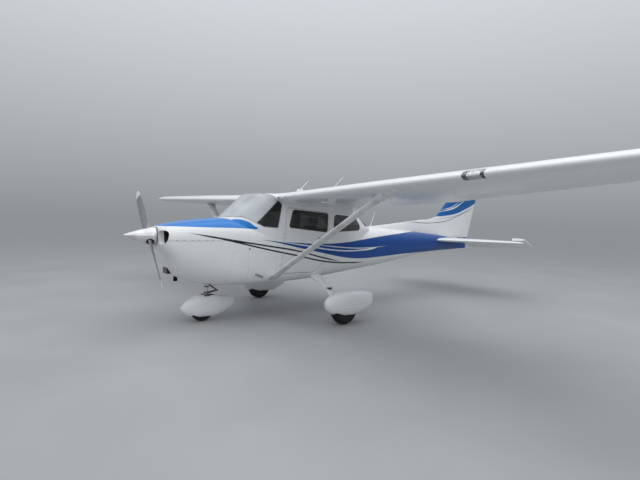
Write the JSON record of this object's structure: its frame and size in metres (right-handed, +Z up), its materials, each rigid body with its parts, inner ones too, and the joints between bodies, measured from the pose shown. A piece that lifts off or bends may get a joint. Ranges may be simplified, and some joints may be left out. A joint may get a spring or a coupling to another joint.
{
  "type": "single-engine light aircraft",
  "caption": "High-wing, strut-braced light aircraft on fixed tricycle gear, with opening doors, steered nose wheel, turning propeller and moving control surfaces.",
  "frame": {"origin": "on the ground, on the centreline, midway between the tip of the spinner and the tail light", "axes": "+X to port (left wing tip), +Y aft, +Z up; the ground under the tyres is Z = 0"},
  "size_m": [10.994, 8.288, 2.5323],
  "materials": {
    "white_skin": "gloss white enamel over thin aluminium sheet",
    "moulded_white": "gloss white enamel over moulded plastic",
    "silver_paint": "satin aluminium paint",
    "bare_metal": "cast aluminium, satin",
    "blade_metal": "satin grey with white tips",
    "engine_iron": "dark matte castings",
    "exhaust_steel": "heat-stained steel",
    "chrome_steel": "polished piston and forged fork",
    "spring_steel": "gloss white enamel over steel",
    "tyre": "matte black rubber",
    "glazing": "clear glazing, faintly smoked",
    "lamp_glass": "clear lamp cover",
    "beacon_red": "red lamp cover",
    "panel_black": "matte black",
    "seat_cloth": "tan woven cloth"
  },
  "bodies": {
    "airframe": {"cowling_upper": "moulded_white", "cowling_lower": "moulded_white", "engine_block": "engine_iron", "exhaust_pipe": "exhaust_steel", "cabin_front": "white_skin", "cabin_rear": "white_skin", "cabin_floor": "white_skin", "cabin_roof": "white_skin", "tail_cone": "white_skin", "fin": "white_skin", "windshield": "glazing", "rear_window": "glazing", "instrument_panel": "panel_black", "seat_rear": "seat_cloth", "landing_light": "lamp_glass", "nose_strut_housing": "silver_paint", "beacon": "beacon_red", "pitot_tube": "bare_metal", "aerial_tail": "moulded_white", "aerial_front": "moulded_white", "aerial_rear": "moulded_white", "side_window_port": "glazing", "seat_front_port": "seat_cloth", "wing_port": "white_skin", "wing_strut_port": "silver_paint", "gear_leg_port": "spring_steel", "main_fairing_port": "moulded_white", "stabilizer_port": "white_skin", "side_window_starboard": "glazing", "seat_front_starboard": "seat_cloth", "wing_starboard": "white_skin", "wing_strut_starboard": "silver_paint", "gear_leg_starboard": "spring_steel", "main_fairing_starboard": "moulded_white", "stabilizer_starboard": "white_skin"},
    "propeller_and_spinner": {"propeller": "blade_metal", "spinner": "moulded_white"},
    "nose_steering": {"nose_fork": "chrome_steel", "nose_fairing": "moulded_white"},
    "nose_wheel": {"tyre_nose": "tyre", "wheel_nose": "bare_metal"},
    "elevators": {"elevator": "white_skin"},
    "rudder_assembly": {"rudder": "white_skin", "tail_light": "lamp_glass"},
    "main_wheel_port": {"tyre_main_port": "tyre", "wheel_main_port": "bare_metal"},
    "door_leaf_port": {"door_port": "white_skin", "door_window_port": "glazing"},
    "flap_port": {"flap_port": "white_skin"},
    "aileron_port": {"aileron_port": "white_skin"},
    "main_wheel_starboard": {"tyre_main_starboard": "tyre", "wheel_main_starboard": "bare_metal"},
    "door_leaf_starboard": {"door_starboard": "white_skin", "door_window_starboard": "glazing"},
    "flap_starboard": {"flap_starboard": "white_skin"},
    "aileron_starboard": {"aileron_starboard": "white_skin"}
  },
  "joints": [
    {"name": "propeller_spin", "type": "hinge", "parent": "airframe", "child": "propeller_and_spinner", "pos_m": [0, -3.81, 1.26], "axis": [0, 0.999, -0.0436], "continuous": true},
    {"name": "main_wheel_port_spin", "type": "hinge", "parent": "airframe", "child": "main_wheel_port", "pos_m": [1.28, -1.358, 0.2225], "axis": [1, 0, 0], "continuous": true},
    {"name": "main_wheel_starboard_spin", "type": "hinge", "parent": "airframe", "child": "main_wheel_starboard", "pos_m": [-1.28, -1.358, 0.2225], "axis": [1, 0, 0], "continuous": true},
    {"name": "nose_steer", "type": "hinge", "parent": "airframe", "child": "nose_steering", "pos_m": [0, -2.97259, 0.5], "axis": [0, 0.1038, 0.9946], "range_deg": [-30, 30]},
    {"name": "nose_wheel_spin", "type": "hinge", "parent": "nose_steering", "child": "nose_wheel", "pos_m": [0, -3.04, 0.18], "axis": [1, 0, 0], "continuous": true},
    {"name": "door_port_hinge", "type": "hinge", "parent": "airframe", "child": "door_leaf_port", "pos_m": [0.535, -1.998, 0.819], "axis": [0, 0.1067, 0.9943], "range_deg": [-70, 0]},
    {"name": "door_starboard_hinge", "type": "hinge", "parent": "airframe", "child": "door_leaf_starboard", "pos_m": [-0.535, -1.998, 0.819], "axis": [0, 0.1067, 0.9943], "range_deg": [0, 70]},
    {"name": "flap_port_hinge", "type": "hinge", "parent": "airframe", "child": "flap_port", "pos_m": [0.64, -0.97743, 1.81953], "axis": [0.9995, 0, 0.0314], "range_deg": [-30, 0]},
    {"name": "flap_starboard_hinge", "type": "hinge", "parent": "airframe", "child": "flap_starboard", "pos_m": [-0.64, -0.97743, 1.81953], "axis": [0.9995, 0, -0.0314], "range_deg": [-30, 0]},
    {"name": "aileron_port_hinge", "type": "hinge", "parent": "airframe", "child": "aileron_port", "pos_m": [2.52, -0.8398, 1.86492], "axis": [0.9884, -0.1443, 0.0481], "range_deg": [-15, 20]},
    {"name": "aileron_starboard_hinge", "type": "hinge", "parent": "airframe", "child": "aileron_starboard", "pos_m": [-2.52, -0.8398, 1.86492], "axis": [0.9884, 0.1443, -0.0481], "range_deg": [-20, 15]},
    {"name": "elevator_hinge", "type": "hinge", "parent": "airframe", "child": "elevators", "pos_m": [0, 3.235, 1.178], "axis": [1, 0, 0], "range_deg": [0, 51.5]},
    {"name": "rudder_hinge", "type": "hinge", "parent": "airframe", "child": "rudder_assembly", "pos_m": [0, 3.27, 1], "axis": [0, 0.2425, 0.9701], "range_deg": [-17.7, 17.7]}
  ],
  "couplings": [
    {"joint": "flap_starboard_hinge", "follows": "flap_port_hinge", "ratio": 1},
    {"joint": "aileron_starboard_hinge", "follows": "aileron_port_hinge", "ratio": -1}
  ]
}
